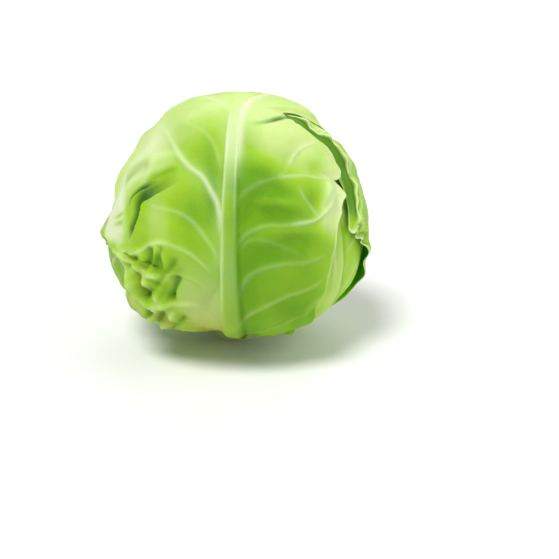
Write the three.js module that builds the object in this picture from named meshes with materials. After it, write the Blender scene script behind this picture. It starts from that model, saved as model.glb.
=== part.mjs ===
// A whole head of green cabbage, standing on the flat face where its stalk was cut.
//
// Millimetres, +Z up. The origin is the middle of the cut face. The front of the head faces -Y.
// A thick stalk stands inside a dense heart of small leaves that grew packed together. Seven
// larger leaves grow from the foot of the stalk, each a bowl that follows the head up, over the
// crown and down its far side. They are listed here from the heart outwards, and every leaf lies
// on those before it, so its radius is found by adding up what is under it.
import * as THREE from "three";

// Driving dimensions of the head.
const HEAD_CENTRE_Z = 70; // the widest part of the head, above the face it stands on
const HEART = { side: 76, crown: 75.2, foot: 50.5, crownBoxiness: 2.12, footBoxiness: 2.4 };
const SWELLINGS = [
  { height: 2, spread: 0.12, towards: new THREE.Vector3(-0.6, 0, 0.8) }, // a full shoulder on the left
  { height: -3, spread: 0.03, towards: new THREE.Vector3(-0.96, -0.05, 0.27) }, // a hollow under it
];
const LUMPS = { height: 1.7, wavelength: 105, seed: 11 }; // the head is not a true round

// Driving dimensions of the stalk.
const STALK = { radius: 17, chamfer: 1.2, shoulder: 20, tipRadius: 7, length: 92, facets: 28 };
const FIT_GAP = 0.4; // room between the stalk and what grows round it
const PETIOLE_GAP = 1.6; // room between the stalk and the middle of a leaf's base

// Driving dimensions of a leaf.
const BLADE_THICKNESS = 1;
const LEAF_PITCH = 2.8; // from one leaf to the next where they lie on each other
const PETIOLE_HALF_WIDTH = 10.5; // degrees round the middle of the head
const BASE_WRAP = 3; // how far the ends of a leaf's base reach round the stalk, degrees
const WIDENING = 17; // degrees of climb in which the blade spreads to its full width
const TIP_ROUND = 17; // how far the tip's corners are drawn back, degrees
const VEIN_RISE = 20; // how far a side vein climbs on its way to the margin, degrees

// Margins drawn by hand, in degrees seen from the middle of the head. Each point says where a row
// of the blade leaves the midrib, and the climb and the sideways angle at which that row ends.
const BACK_LEFT = [
  [-75, -78, 9], [-66, -67, 24], [-50, -44, 46], [-30, -18, 61], [-10, 6, 69], [5, 24, 73],
  [18, 38, 74.5], [28, 48, 75], [34, 53, 74], [38, 56, 70], [42, 58.5, 64], [46, 62, 57], [50, 66, 51],
  [56, 72, 46], [64, 79, 42], [74, 87, 37], [88, 96, 30], [102, 104, 20], [116, 110, 12],
];
const FRONT_LEFT = [
  [-75, -78, 9], [-66, -66, 22], [-56, -54, 36], [-46, -42, 46], [-37, -31, 51], [-29, -21, 52],
  [-22, -12, 51.5], [-16, -4, 52.5], [-12, 0.5, 55], [-9, 4, 59], [-6, 5.5, 68], [-4, 5, 77],
  [-2, 7, 82.5], [1, 13, 85.5], [8, 24, 86.5], [20, 38, 86], [35, 53, 84], [50, 67, 79], [65, 80, 71],
  [80, 91, 62], [95, 100, 53], [110, 107, 45], [126, 112, 35],
];
// The right margin has a deep notch at its top, in which the ruffled leaf under it shows.
const FRONT_RIGHT = [
  [-75, -78, 9], [-66, -66, 20], [-55, -51, 30], [-40, -33, 38], [-20, -9, 44], [-8, 6, 47],
  [4, 20, 50.5], [14, 31, 52], [24, 42, 52.5], [30, 48.5, 52.5], [38, 57.5, 49.5], [44, 63.5, 49.5],
  [49, 69, 48], [52, 71.5, 44.5], [55, 73.8, 38], [58, 72, 31.5], [60.5, 73, 26], [62.5, 74.2, 22],
  [64.5, 76.4, 18.8], [66.5, 79.3, 17.6], [69, 82, 21], [72, 85, 25.5], [77, 89.5, 31], [84, 95.5, 36],
  [93, 102.5, 40.5], [105, 108, 42], [118, 112, 38], [126, 114, 33],
];

// The leaves, from the innermost to the outermost. Each stands about 137.5 degrees round from the
// last, as leaves do on a stalk. azimuth is where its midrib faces, 0 for the front and 90 for the
// right. left and right are how far the blade reaches to each side, or its drawn margin, and tip
// how far up and over it goes. lean is how far the midrib leans to the right over the crown.
const LEAVES = [
  { name: "inner_leaf_1", azimuth: 100, left: 66, right: 68, tip: 110, rib: 3, cells: [18, 12], seed: 22 },
  { name: "inner_leaf_2", azimuth: -37, left: 68, right: 66, tip: 114, rib: 3.2, cells: [18, 12], seed: 23 },
  { name: "inner_leaf_3", azimuth: 186, left: 66, right: 70, tip: 116, rib: 3.4, cells: [20, 14], seed: 24 },
  { name: "inner_leaf_4", azimuth: 50, left: 72, right: 74, tip: 112, rib: 3.6, cells: [22, 16], seed: 25 },
  { name: "wrapper_leaf_left", azimuth: -92, left: 74, right: 74, tip: 112, rib: 5, cells: [26, 16], seed: 26 },
  {
    name: "wrapper_leaf_back", azimuth: 136, left: BACK_LEFT, right: 78, tip: 116, rib: 5.5,
    cells: [32, 20], seed: 27,
  },
  {
    name: "wrapper_leaf_front", azimuth: -4, left: FRONT_LEFT, right: FRONT_RIGHT, tip: 126, rib: 5.5,
    cells: [42, 30], seed: 28, lean: 1,
  },
];

// The folds of the front leaf: height and half width in mm, along points of climb and sideways. It
// is pleated at its upper left, creased beside the crown and crumpled at its lower left.
const FRONT_FOLDS = [
  { height: 2.2, halfWidth: 8, points: [[44, -24], [39, -38], [33, -46], [22, -51]] },
  { height: -3.2, halfWidth: 4, points: [[40, -21], [36, -31], [34, -38], [27, -41], [17, -45]] },
  { height: -1.6, halfWidth: 4.5, points: [[54, -20], [56, -30], [55, -42], [52, -52]] },
  { height: -1.8, halfWidth: 4.5, points: [[79, 24], [70, 17], [66, 11], [63, 4]] },
  { height: -1.4, halfWidth: 4.5, points: [[33, 6], [36, 16], [35, 26], [31, 34]] },
  { height: 2.0, halfWidth: 4.5, points: [[14, -24], [13, -30], [6, -42], [8, -53]] },
  { height: 2.0, halfWidth: 4.5, points: [[-1, -22], [-3, -34], [1, -43], [6, -47]] },
  { height: 2.4, halfWidth: 5, points: [[-10, -46], [-7, -39], [-5, -33]] },
  { height: -2.2, halfWidth: 4.5, points: [[-19, -43], [-14, -36], [-4, -27], [-3, -20]] },
  { height: 2.0, halfWidth: 4.5, points: [[-12, -12], [-15, -27], [-20, -34], [-29, -40]] },
];
const SAG = { height: 4.5, climb: -34, sideways: -38, spread: 21 }; // where it hangs off the head

// The midrib, a flat ridge on the outer face that dies away towards the tip.
const RIB_FADE = 58; // degrees of climb over which its height falls to about a third
const RIB_HALF_WIDTH = { base: 12, tip: 2.4, fade: 62 };
const SIDE_VEIN = { every: 4, height: 0.8 }; // rows of the blade, and the ridge's height

const SEAT_REACH = 5; // degrees round a point of the blade that its flat facets have to clear

// Blisters and waved margins on the three outer leaves, and the ruffled margin of the back leaf.
const PUCKER = { height: 1.3, wavelength: 42 };
const MARGIN_WAVE = { lift: 3, width: 22, wavelength: 34, cut: 0.013, cutWavelength: 28 };
const RUFFLE = { lift: 1.2, wave: 1.3, width: 13, wavelength: 15, seed: 71 };
const LEAST_CLEARANCE = 0.5; // what a fold leaves between its leaf and the one under it

const radians = THREE.MathUtils.degToRad;
const { clamp, smoothstep } = THREE.MathUtils;

// A repeatable stream of numbers between 0 and 1.
function seededRandom(seed) {
  let state = seed >>> 0;
  return () => {
    state = (Math.imul(state, 1664525) + 1013904223) >>> 0;
    return state / 4294967296;
  };
}

// A smooth field of rounded lumps, between about -1 and 1, made of a few plane waves.
function lumpField(seed, wavelength, waves = 9) {
  const random = seededRandom(seed);
  const set = Array.from({ length: waves }, () => {
    const up = 2 * random() - 1;
    const turn = 2 * Math.PI * random();
    const flat = Math.sqrt(1 - up * up);
    const size = (2 * Math.PI) / (wavelength * (0.75 + 0.5 * random()));
    const phase = 2 * Math.PI * random();
    return { x: size * flat * Math.cos(turn), y: size * flat * Math.sin(turn), z: size * up, phase };
  });
  const share = Math.sqrt(2 / waves);
  const wave = (w, p) => Math.sin(w.x * p.x + w.y * p.y + w.z * p.z + w.phase);
  return (p) => share * set.reduce((sum, w) => sum + wave(w, p), 0);
}

// A gentle random wave along a margin, between about -1 and 1.
function wander(along, seed, wavelength) {
  const random = seededRandom(seed);
  let total = 0;
  for (let i = 0; i < 5; i++) {
    const size = (2 * Math.PI) / (wavelength * (0.6 + 1.2 * random()));
    total += Math.sin(size * along + 2 * Math.PI * random());
  }
  return total / 2.2;
}

const headLumps = lumpField(LUMPS.seed, LUMPS.wavelength);

// The heart's radius in a direction from the middle of the head.
function heartRadius(dir) {
  const across = Math.hypot(dir.x, dir.y) / HEART.side;
  const along = Math.abs(dir.z) / (dir.z > 0 ? HEART.crown : HEART.foot);
  const boxiness = dir.z > 0 ? HEART.crownBoxiness : HEART.footBoxiness;
  const power = 2 + (boxiness - 2) * smoothstep(Math.abs(dir.z), 0, 0.3);
  const round = (across ** power + along ** power) ** (-1 / power);
  const swollen = SWELLINGS.reduce((sum, { height, spread, towards }) => {
    return sum + height * Math.exp((dir.dot(towards) - 1) / spread);
  }, 0);
  return round + swollen + LUMPS.height * headLumps(dir.clone().multiplyScalar(HEART.side));
}

// A leaf's own axes: forward through its midrib at the widest part, up, and to its right.
function leafAxes(leaf) {
  const turn = radians(leaf.azimuth);
  return {
    forward: new THREE.Vector3(Math.sin(turn), -Math.cos(turn), 0),
    up: new THREE.Vector3(0, 0, 1),
    side: new THREE.Vector3(Math.cos(turn), Math.sin(turn), 0),
  };
}

// climb runs along the midrib from the foot over the crown, and sideways across it, in degrees.
function directionAt(leaf, climb, sideways) {
  const { forward, up, side } = leaf.axes;
  const [a, b] = [radians(climb), radians(sideways)];
  return new THREE.Vector3()
    .addScaledVector(forward, Math.cos(b) * Math.cos(a))
    .addScaledVector(up, Math.cos(b) * Math.sin(a))
    .addScaledVector(side, Math.sin(b));
}

function chartAt(leaf, dir) {
  const { forward, up, side } = leaf.axes;
  const turn = THREE.MathUtils.radToDeg(Math.atan2(dir.dot(up), dir.dot(forward)));
  const climb = turn < -125 ? turn + 360 : turn;
  return { climb, sideways: THREE.MathUtils.radToDeg(Math.asin(clamp(dir.dot(side), -1, 1))) };
}

// The middle line of the midrib, in degrees sideways.
function ribCentre(leaf, climb) {
  return (leaf.lean ?? 0) * smoothstep(climb, 15, 85);
}

// Where a row of the blade that leaves the midrib at a climb ends, on its left (-1) or right (1).
function rowEnd(leaf, hand, start) {
  const margin = hand < 0 ? leaf.left : leaf.right;
  if (Array.isArray(margin)) {
    const above = margin.findIndex(([from]) => from > start);
    const next = above < 0 ? margin.length - 1 : Math.max(above, 1);
    const [low, high] = [margin[next - 1], margin[next]];
    const t = clamp((start - low[0]) / (high[0] - low[0]), 0, 1);
    return { climb: low[1] + t * (high[1] - low[1]), sideways: low[2] + t * (high[2] - low[2]) };
  }
  const u = clamp((start - leaf.base) / (leaf.tip - leaf.base), 0, 1);
  const rise = VEIN_RISE * Math.sin(Math.PI * u ** 0.85);
  const climb = start + rise - BASE_WRAP * (1 - u) ** 6 - TIP_ROUND * u ** 4;
  const opened = Math.max(climb - leaf.base, 0) / WIDENING;
  const spread = 1 - Math.exp(-(opened ** 1.2));
  const narrowing = 1 - 0.38 * smoothstep(climb, 40, leaf.tip);
  return { climb, sideways: PETIOLE_HALF_WIDTH + (margin - PETIOLE_HALF_WIDTH) * spread * narrowing };
}

// The leaf's outline as [climb, sideways], up its left margin, over the tip and down its right one.
function outlineOf(leaf) {
  const steps = 70;
  const rowAt = (i) => leaf.base + ((leaf.tip - leaf.base) * i) / (steps - 1);
  const starts = Array.from({ length: steps }, (_, i) => rowAt(i));
  const half = (hand) => {
    const margin = starts.map((start) => rowEnd(leaf, hand, start));
    const corner = margin[steps - 1];
    const drop = leaf.tip - corner.climb;
    const tip = [0.8, 0.6, 0.4, 0.2].map((share) => {
      return { climb: leaf.tip - drop * share ** 2.5, sideways: share * corner.sideways };
    });
    return [...margin, ...tip].map((end) => [end.climb, hand * end.sideways]);
  };
  return [...half(-1), ...half(1).reverse()];
}

// How far a direction lies outside the leaf's outline, in degrees. It is negative inside.
function outsideBy(leaf, dir) {
  const { climb, sideways } = chartAt(leaf, dir);
  let nearest = Infinity;
  let inside = false;
  leaf.outline.forEach(([low, left], i) => {
    const [high, right] = leaf.outline[(i + 1) % leaf.outline.length];
    const [rise, run] = [high - low, right - left];
    const square = rise * rise + run * run + 1e-9;
    const share = clamp(((climb - low) * rise + (sideways - left) * run) / square, 0, 1);
    nearest = Math.min(nearest, Math.hypot(climb - low - share * rise, sideways - left - share * run));
    const crossed = low > climb !== high > climb;
    if (crossed && sideways < left + ((climb - low) * run) / rise) inside = !inside;
  });
  return inside ? -nearest : nearest;
}

// The midrib's height above the blade. spread over 1 gives the wide swell it makes in leaves above.
function ribHeight(leaf, { climb, sideways }, spread = 1) {
  const along = Math.max(climb - leaf.base, 0);
  const { base, tip, fade } = RIB_HALF_WIDTH;
  const width = tip + (base - tip) * Math.exp(-along / fade);
  const acrossMm = radians(Math.abs(sideways - ribCentre(leaf, climb))) * HEART.side;
  return leaf.rib * Math.exp(-along / RIB_FADE) * (1 - smoothstep(acrossMm / width, 0.45 * spread, spread));
}

// What a leaf adds to the radius of every leaf that lies over it.
function swellUnder(leaf, dir) {
  const covered = 1 - smoothstep(outsideBy(leaf, dir), 3, 15);
  return covered * (LEAF_PITCH + ribHeight(leaf, chartAt(leaf, dir), 1.8));
}

// The radius that the heart and the leaves before this one reach.
function radiusUnder(index, dir) {
  return LEAVES.slice(0, index).reduce((sum, other) => sum + swellUnder(other, dir), heartRadius(dir));
}

// The radius a blade lies on. Its facets are flat, so it clears the highest point close round it.
function seatRadius(leaf, index, climb, sideways) {
  const here = directionAt(leaf, climb, sideways);
  const along = directionAt(leaf, climb + 90, 0);
  const across = along.clone().cross(here).normalize();
  let highest = radiusUnder(index, here);
  for (let i = 0; i < 8; i++) {
    const turn = (i * Math.PI) / 4;
    const step = along.clone().multiplyScalar(Math.cos(turn)).addScaledVector(across, Math.sin(turn));
    const near = here.clone().addScaledVector(step, Math.tan(radians(SEAT_REACH))).normalize();
    highest = Math.max(highest, radiusUnder(index, near));
  }
  return highest;
}

// The climb, below the widest part, at which a leaf leaves the side of the stalk.
function baseAngle(leaf, index) {
  const nearStalk = radiusUnder(index, directionAt(leaf, -73, 0)) + LEAF_PITCH - BLADE_THICKNESS;
  return -90 + THREE.MathUtils.radToDeg(Math.asin((STALK.radius + PETIOLE_GAP) / nearStalk));
}

// 1 where no later leaf lies over a direction, and 0 where one does.
function freedomOf(index, dir) {
  return LEAVES.slice(index + 1).reduce((free, above) => {
    return free * smoothstep(outsideBy(above, dir), 1, 10);
  }, 1);
}

// How high the folds of the front leaf stand at a point of it.
function foldHeight(leaf, dir) {
  const at = dir.clone().multiplyScalar(HEART.side);
  const nearest = new THREE.Vector3();
  return FRONT_FOLDS.reduce((sum, { height, halfWidth, points }) => {
    const knots = points.map((point) => directionAt(leaf, ...point).multiplyScalar(HEART.side));
    const distance = Math.min(...knots.slice(1).map((end, i) => {
      return new THREE.Line3(knots[i], end).closestPointToPoint(at, true, nearest).distanceTo(at);
    }));
    return sum + height * Math.exp(-((distance / halfWidth) ** 2));
  }, 0);
}

// How far the blade stands off what is under it: puckers all over, waves along the margin, and
// the folds and ruffles that only one leaf has.
function liftOf(leaf, dir, { share, hand, alongMm, marginMm, climb, sideways }) {
  const pucker = PUCKER.height * (0.6 + 0.4 * leaf.puckers(dir.clone().multiplyScalar(HEART.side)));
  const wave = 0.5 + 0.5 * wander(alongMm + 400 * hand, leaf.seed + 9, MARGIN_WAVE.wavelength);
  const margin = MARGIN_WAVE.lift * Math.max(wave, 0) * (1 - smoothstep(marginMm, 0, MARGIN_WAVE.width));
  const lift = pucker * smoothstep(share, 0.1, 0.5) + margin;
  if (leaf.left === FRONT_LEFT) {
    const sag = Math.exp(-(((climb - SAG.climb) ** 2 + (sideways - SAG.sideways) ** 2) / SAG.spread ** 2));
    const hugging = 0.75 * smoothstep(climb, 5, 25);
    return lift * (1 - hugging) + SAG.height * sag + foldHeight(leaf, dir);
  }
  if (leaf.left === BACK_LEFT && hand < 0) {
    const near = smoothstep(climb, -20, 15) * (1 - smoothstep(marginMm, 0, RUFFLE.width));
    const ruffle = RUFFLE.lift + RUFFLE.wave * wander(alongMm + 1.2 * sideways, RUFFLE.seed, RUFFLE.wavelength);
    return lift * (1 - 0.6 * near) + near * ruffle;
  }
  return lift;
}

// The inner and outer point of the blade at u, from base to tip, and v, from left to right. vein
// is 1 on a side vein and 0 between two. Only the wrappers lie free enough to show their relief.
function bladeAt(leaf, index, u, v, vein) {
  const share = Math.abs(v);
  const hand = v < 0 ? -1 : 1;
  const start = leaf.base + (leaf.tip - leaf.base) * u;
  const end = rowEnd(leaf, hand, start);
  const nearTip = smoothstep(start, leaf.tip - 60, leaf.tip);
  const rising = (1 - nearTip) * (1 - (1 - share) ** 1.8) + nearTip * share ** 2.5;
  const climb = start + (end.climb - start) * rising;
  const alongMm = radians(climb) * HEART.side;
  const marginMm = radians(end.sideways * (1 - share)) * HEART.side;
  const cut = MARGIN_WAVE.cut * wander(alongMm + 400 * hand, leaf.seed, MARGIN_WAVE.cutWavelength);
  const sideways = ribCentre(leaf, climb) + v * end.sideways * (1 + cut * smoothstep(share, 0.7, 1));
  const dir = directionAt(leaf, climb, sideways);
  const free = leaf.name.startsWith("wrapper") ? freedomOf(index, dir) : 0;
  const clearance = LEAF_PITCH - BLADE_THICKNESS;
  const lift = free * liftOf(leaf, dir, { share, hand, alongMm, marginMm, climb, sideways });
  const inner = seatRadius(leaf, index, climb, sideways) + Math.max(clearance + lift, LEAST_CLEARANCE);
  const veinRidge = free * vein * SIDE_VEIN.height * (1 - share);
  const outer = inner + BLADE_THICKNESS + Math.max(ribHeight(leaf, { climb, sideways }), veinRidge);
  return [inner, outer].map((radius) => {
    return dir.clone().multiplyScalar(radius).add(new THREE.Vector3(0, 0, HEAD_CENTRE_Z));
  });
}

// One closed blade: an outer and an inner grid, split into triangles alike, joined round the rim.
function leafGeometry(leaf, index) {
  const [rows, columns] = leaf.cells;
  const layer = (rows + 1) * (columns + 1);
  const positions = new Float32Array(2 * layer * 3);
  const at = (row, column) => row * (columns + 1) + column;
  for (let row = 0; row <= rows; row++) {
    const u = (row / rows) ** 1.3; // closer together at the base
    const vein = row % SIDE_VEIN.every === 2 ? 1 : 0;
    for (let column = 0; column <= columns; column++) {
      const x = (2 * column) / columns - 1;
      const v = Math.sign(x) * Math.abs(x) ** 1.35; // closer together at the midrib
      const [inner, outer] = bladeAt(leaf, index, u, v, vein);
      inner.toArray(positions, 3 * at(row, column));
      outer.toArray(positions, 3 * (layer + at(row, column)));
    }
  }
  const faces = [];
  for (let row = 0; row < rows; row++) {
    for (let column = 0; column < columns; column++) {
      const [a, b, c, d] = [at(row, column), at(row, column + 1), at(row + 1, column + 1), at(row + 1, column)];
      faces.push(a, c, b, a, d, c, layer + a, layer + b, layer + c, layer + a, layer + c, layer + d);
    }
  }
  const rim = [];
  for (let column = 0; column < columns; column++) rim.push(at(0, column));
  for (let row = 0; row < rows; row++) rim.push(at(row, columns));
  for (let column = columns; column > 0; column--) rim.push(at(rows, column));
  for (let row = rows; row > 0; row--) rim.push(at(row, 0));
  rim.forEach((a, i) => {
    const b = rim[(i + 1) % rim.length];
    faces.push(a, b, layer + b, a, layer + b, layer + a);
  });
  const geometry = new THREE.BufferGeometry();
  geometry.setAttribute("position", new THREE.BufferAttribute(positions, 3));
  geometry.setIndex(faces);
  geometry.computeVertexNormals();
  return geometry;
}

// The stalk's outline from its cut face up to its blunt tip, grown by a gap, as [radius, height].
function stalkOutline(gap) {
  const { radius, shoulder, tipRadius, length } = STALK;
  return [
    [radius + gap, shoulder],
    [radius * 0.86 + gap, shoulder + 0.3 * (length - shoulder)],
    [radius * 0.62 + gap, shoulder + 0.65 * (length - shoulder)],
    [tipRadius + gap, length - 3],
    [tipRadius * 0.6 + gap, length + gap],
    [0, length + 1 + gap],
  ].map(([r, z]) => new THREE.Vector2(r, z));
}

function turned(outline) {
  return new THREE.LatheGeometry(outline, STALK.facets).rotateX(Math.PI / 2);
}

function stalkGeometry() {
  const { radius, chamfer } = STALK;
  const foot = [[0, 0], [radius - chamfer, 0], [radius, chamfer]].map(([r, z]) => new THREE.Vector2(r, z));
  return turned([...foot, ...stalkOutline(0)]);
}

// The heart: a lumpy ball with overlapping leaf edges on it, and a pocket for the stalk.
function heartGeometry() {
  const rings = 20;
  const pocket = stalkOutline(FIT_GAP).slice(1).reverse();
  const mouthRadius = STALK.radius + FIT_GAP;
  const mouthAngle = Math.atan2(mouthRadius, HEART.foot);
  const outside = [];
  for (let ring = 0; ring <= rings; ring++) {
    const angle = mouthAngle + ((Math.PI - mouthAngle) * ring) / rings;
    const height = HEAD_CENTRE_Z - HEART.side * Math.cos(angle);
    outside.push(new THREE.Vector2(HEART.side * Math.sin(angle), height));
  }
  outside[rings].x = 0;
  const geometry = turned([...pocket, ...outside]);
  const position = geometry.getAttribute("position");
  const centre = new THREE.Vector3(0, 0, HEAD_CENTRE_Z);
  const point = new THREE.Vector3();
  for (let i = 0; i < position.count; i++) {
    const offset = point.fromBufferAttribute(position, i).sub(centre);
    if (Math.abs(offset.length() - HEART.side) > 0.01) continue; // a point of the pocket
    const dir = offset.clone().normalize();
    const placed = dir.clone().multiplyScalar(heartRadius(dir) - heartLeafStep(dir)).add(centre);
    const beyondMouth = Math.max(1, (mouthRadius + 0.01) / Math.max(Math.hypot(placed.x, placed.y), 0.01));
    const opened = dir.z < -0.5 ? beyondMouth : 1; // the lumps don't narrow the pocket's mouth
    position.setXYZ(i, placed.x * opened, placed.y * opened, placed.z);
  }
  return geometry;
}

// The packed leaves of the heart end in steps that wind round it from the foot to the crown.
function heartLeafStep(dir) {
  const turn = Math.atan2(dir.y, dir.x) / (2 * Math.PI);
  const climb = Math.asin(clamp(dir.z, -1, 1)) / Math.PI + 0.5;
  const phase = 3 * turn + 1.6 * climb;
  const step = phase - Math.floor(phase);
  return 1.1 * smoothstep(step, 0, 0.25) * (1 - smoothstep(step, 0.3, 1)) * Math.sin(Math.PI * climb);
}

LEAVES.forEach((leaf, index) => {
  leaf.axes = leafAxes(leaf);
  leaf.puckers = lumpField(leaf.seed, PUCKER.wavelength);
  leaf.base = baseAngle(leaf, index);
  leaf.outline = outlineOf(leaf);
});

const cabbage = new THREE.Group();

function add(name, geometry, color, roughness) {
  const material = new THREE.MeshStandardMaterial({ color, roughness, metalness: 0 });
  const mesh = new THREE.Mesh(geometry, material);
  mesh.name = name;
  cabbage.add(mesh);
}

add("stalk", stalkGeometry(), 0xe9ecc9, 0.6);
add("heart", heartGeometry(), 0xe3ecb0, 0.45);
LEAVES.forEach((leaf, index) => {
  const colour = leaf.name.startsWith("wrapper") ? 0x9cc84a : 0xbfdc82;
  add(leaf.name, leafGeometry(leaf, index), colour, 0.45);
});

export default cabbage;
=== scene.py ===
import math

import bpy
import numpy as np
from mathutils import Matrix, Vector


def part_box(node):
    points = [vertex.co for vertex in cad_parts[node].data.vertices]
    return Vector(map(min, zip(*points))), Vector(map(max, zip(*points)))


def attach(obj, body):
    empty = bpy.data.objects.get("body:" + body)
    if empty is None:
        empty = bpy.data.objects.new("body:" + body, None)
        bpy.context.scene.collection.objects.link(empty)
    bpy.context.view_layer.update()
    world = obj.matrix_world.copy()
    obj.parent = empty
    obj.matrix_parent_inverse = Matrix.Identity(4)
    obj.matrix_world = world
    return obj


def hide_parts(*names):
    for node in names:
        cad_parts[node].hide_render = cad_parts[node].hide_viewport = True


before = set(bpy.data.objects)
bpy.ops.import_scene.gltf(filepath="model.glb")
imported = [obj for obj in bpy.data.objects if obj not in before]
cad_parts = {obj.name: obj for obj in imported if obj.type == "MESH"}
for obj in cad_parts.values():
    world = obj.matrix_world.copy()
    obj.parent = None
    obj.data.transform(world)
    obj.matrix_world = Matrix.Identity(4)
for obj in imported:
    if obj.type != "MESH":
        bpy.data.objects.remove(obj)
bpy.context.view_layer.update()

# The camera stands a little above the head and looks down on its front. The head is left of the
# middle of the picture and above it, by the aim of the camera alone.
AIM_POINT = np.array([0, 0, 0.082])
CAMERA_DISTANCE = 0.874
CAMERA_ELEVATION = math.radians(17.2)
CAMERA_PITCH = math.radians(-19.9)
CAMERA_YAW = math.radians(1.9)

towards_camera = np.array([0, -math.cos(CAMERA_ELEVATION), math.sin(CAMERA_ELEVATION)])
bpy.ops.object.camera_add(
    location=AIM_POINT + CAMERA_DISTANCE * towards_camera,
    rotation=(math.radians(90) + CAMERA_PITCH, 0, -CAMERA_YAW),
)
camera = bpy.context.object
camera.data.lens = 85
camera.data.sensor_width = 36
bpy.context.scene.camera = camera

# The studio. A pale floor runs past the edges of the picture. Soft light falls on it from the
# upper left, a second broad light behind the head gives the crown its sheen, a third fills it in
# from the right, and the room is dim.
FLOOR_COLOUR = (0.88, 0.88, 0.88, 1)
ROOM_COLOUR = (1, 1, 1, 1)
ROOM_STRENGTH = 0.3


def new_material(name):
    """A new material, with its nodes, its links and its shader."""
    material = bpy.data.materials.new(name)
    material.use_nodes = True
    nodes = material.node_tree.nodes
    return material, nodes, material.node_tree.links, nodes["Principled BSDF"]


def set_inputs(node, values):
    for name, value in values.items():
        node.inputs[name].default_value = value


def soft_light(name, azimuth, elevation, strength, spread):
    """Broad distant light, by the angles that it comes from and its own width."""
    bpy.ops.object.light_add(
        type="SUN",
        rotation=(math.radians(90 - elevation), 0, math.radians(azimuth)),
    )
    light = bpy.context.object
    light.name = name
    light.data.energy = strength
    light.data.angle = math.radians(spread)


bpy.ops.object.select_all(action="DESELECT")
bpy.ops.mesh.primitive_plane_add(size=8)
floor = bpy.context.object
floor.name = "floor"
floor_paint, _, _, floor_shader = new_material("pale_floor")
set_inputs(floor_shader, {"Base Color": FLOOR_COLOUR, "Roughness": 0.9})
floor.data.materials.append(floor_paint)

world = bpy.data.worlds.new("light_tent")
world.use_nodes = True
set_inputs(world.node_tree.nodes["Background"], {"Color": ROOM_COLOUR, "Strength": ROOM_STRENGTH})
bpy.context.scene.world = world
bpy.context.scene.view_settings.view_transform = "Standard"
soft_light("key_light", azimuth=-38, elevation=62, strength=2.5, spread=25)
soft_light("crown_light", azimuth=165, elevation=40, strength=0.85, spread=50)
soft_light("side_light", azimuth=82, elevation=28, strength=1.0, spread=50)

# The form of the head. Its widest part is 70 mm above the cut face of the stalk, and everything
# that grows round the stalk is worked out as a radius, in mm, in each direction from there.
HEAD_CENTRE = np.array([0, 0, 70.0])
HEART_SIDE = 76
HEART_CROWN = 75.2
HEART_FOOT = 50.5
HEART_BOXINESS = 2.4
CROWN_BOXINESS = 2.12
# Each swelling's height in mm, how far it spreads, and the direction that it lies in.
SWELLINGS = ((2.0, 0.12, (-0.6, 0.0, 0.8)), (-3.0, 0.03, (-0.96, -0.05, 0.27)))
LUMP_HEIGHT = 1.7
LUMP_WAVELENGTH = 105
METRES = 0.001
# Spots are where the directions meet a ball of this radius, near the outer leaves.
SPOT_RADIUS = 85


def smooth(x, low, high):
    """0 up to low, 1 from high on, and an even slope between them."""
    share = np.clip((x - low) / (high - low), 0, 1)
    return share * share * (3 - 2 * share)


def seeded_random(seed):
    """Draws the same numbers from 0 to 1 for a seed each time."""
    state = seed
    while True:
        state = (state * 1664525 + 1013904223) % 4294967296
        yield state / 4294967296


def lump_field(seed, wavelength, waves=9):
    """A smooth field of rounded lumps, between about -1 and 1, made of a few plane waves."""
    draw = seeded_random(seed)
    directions = []
    phases = []
    for _ in range(waves):
        up = 2 * next(draw) - 1
        turn = 2 * math.pi * next(draw)
        flat = math.sqrt(1 - up * up)
        size = 2 * math.pi / (wavelength * (0.75 + 0.5 * next(draw)))
        phases.append(2 * math.pi * next(draw))
        directions.append((size * flat * math.cos(turn), size * flat * math.sin(turn), size * up))
    directions = np.array(directions).T

    def field(points):
        return math.sqrt(2 / waves) * np.sin(points @ directions + phases).sum(axis=-1)

    return field


head_lumps = lump_field(11, LUMP_WAVELENGTH)


def heart_radius(directions):
    """The heart's skin: a rounded, somewhat boxy ball with low swellings and lumps."""
    z = directions[:, 2]
    across = np.hypot(directions[:, 0], directions[:, 1]) / HEART_SIDE
    along = np.abs(z) / np.where(z > 0, HEART_CROWN, HEART_FOOT)
    boxiness = np.where(z > 0, CROWN_BOXINESS, HEART_BOXINESS)
    power = 2 + (boxiness - 2) * smooth(np.abs(z), 0, 0.3)
    rounded = (across**power + along**power) ** (-1 / power)
    for height, spread, towards in SWELLINGS:
        rounded = rounded + height * np.exp((directions @ np.array(towards) - 1) / spread)
    return rounded + LUMP_HEIGHT * head_lumps(directions * HEART_SIDE)


def read_points(piece):
    points = np.empty(len(piece.data.vertices) * 3)
    piece.data.vertices.foreach_get("co", points)
    return points.reshape(-1, 3)


def write_points(piece, points):
    piece.data.vertices.foreach_set("co", (points * METRES).ravel())
    piece.data.update()


def select_faces(piece, wanted):
    """Selects the faces whose middle passes a test, and goes into edit mode on them."""
    bpy.ops.object.mode_set(mode="EDIT")
    bpy.ops.mesh.select_all(action="DESELECT")
    bpy.ops.object.mode_set(mode="OBJECT")
    for face in piece.data.polygons:
        face.select = wanted(face.center)
    bpy.ops.object.mode_set(mode="EDIT")


# The stalk, a thick pale stem cut flat across. It stands inside the heart and tapers upwards, and
# the head rests on its cut face, where a ring of woody strands shows.
_, stalk_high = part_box("stalk")
STALK_RADIUS = stalk_high.x / METRES
STALK_HEIGHT = stalk_high.z / METRES
STALK_TIP_RADIUS = 7
TAPER_START = 20
RIM_BEVEL = 1.2
RING_WIDTH = 3.2
RINGS = 4
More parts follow.
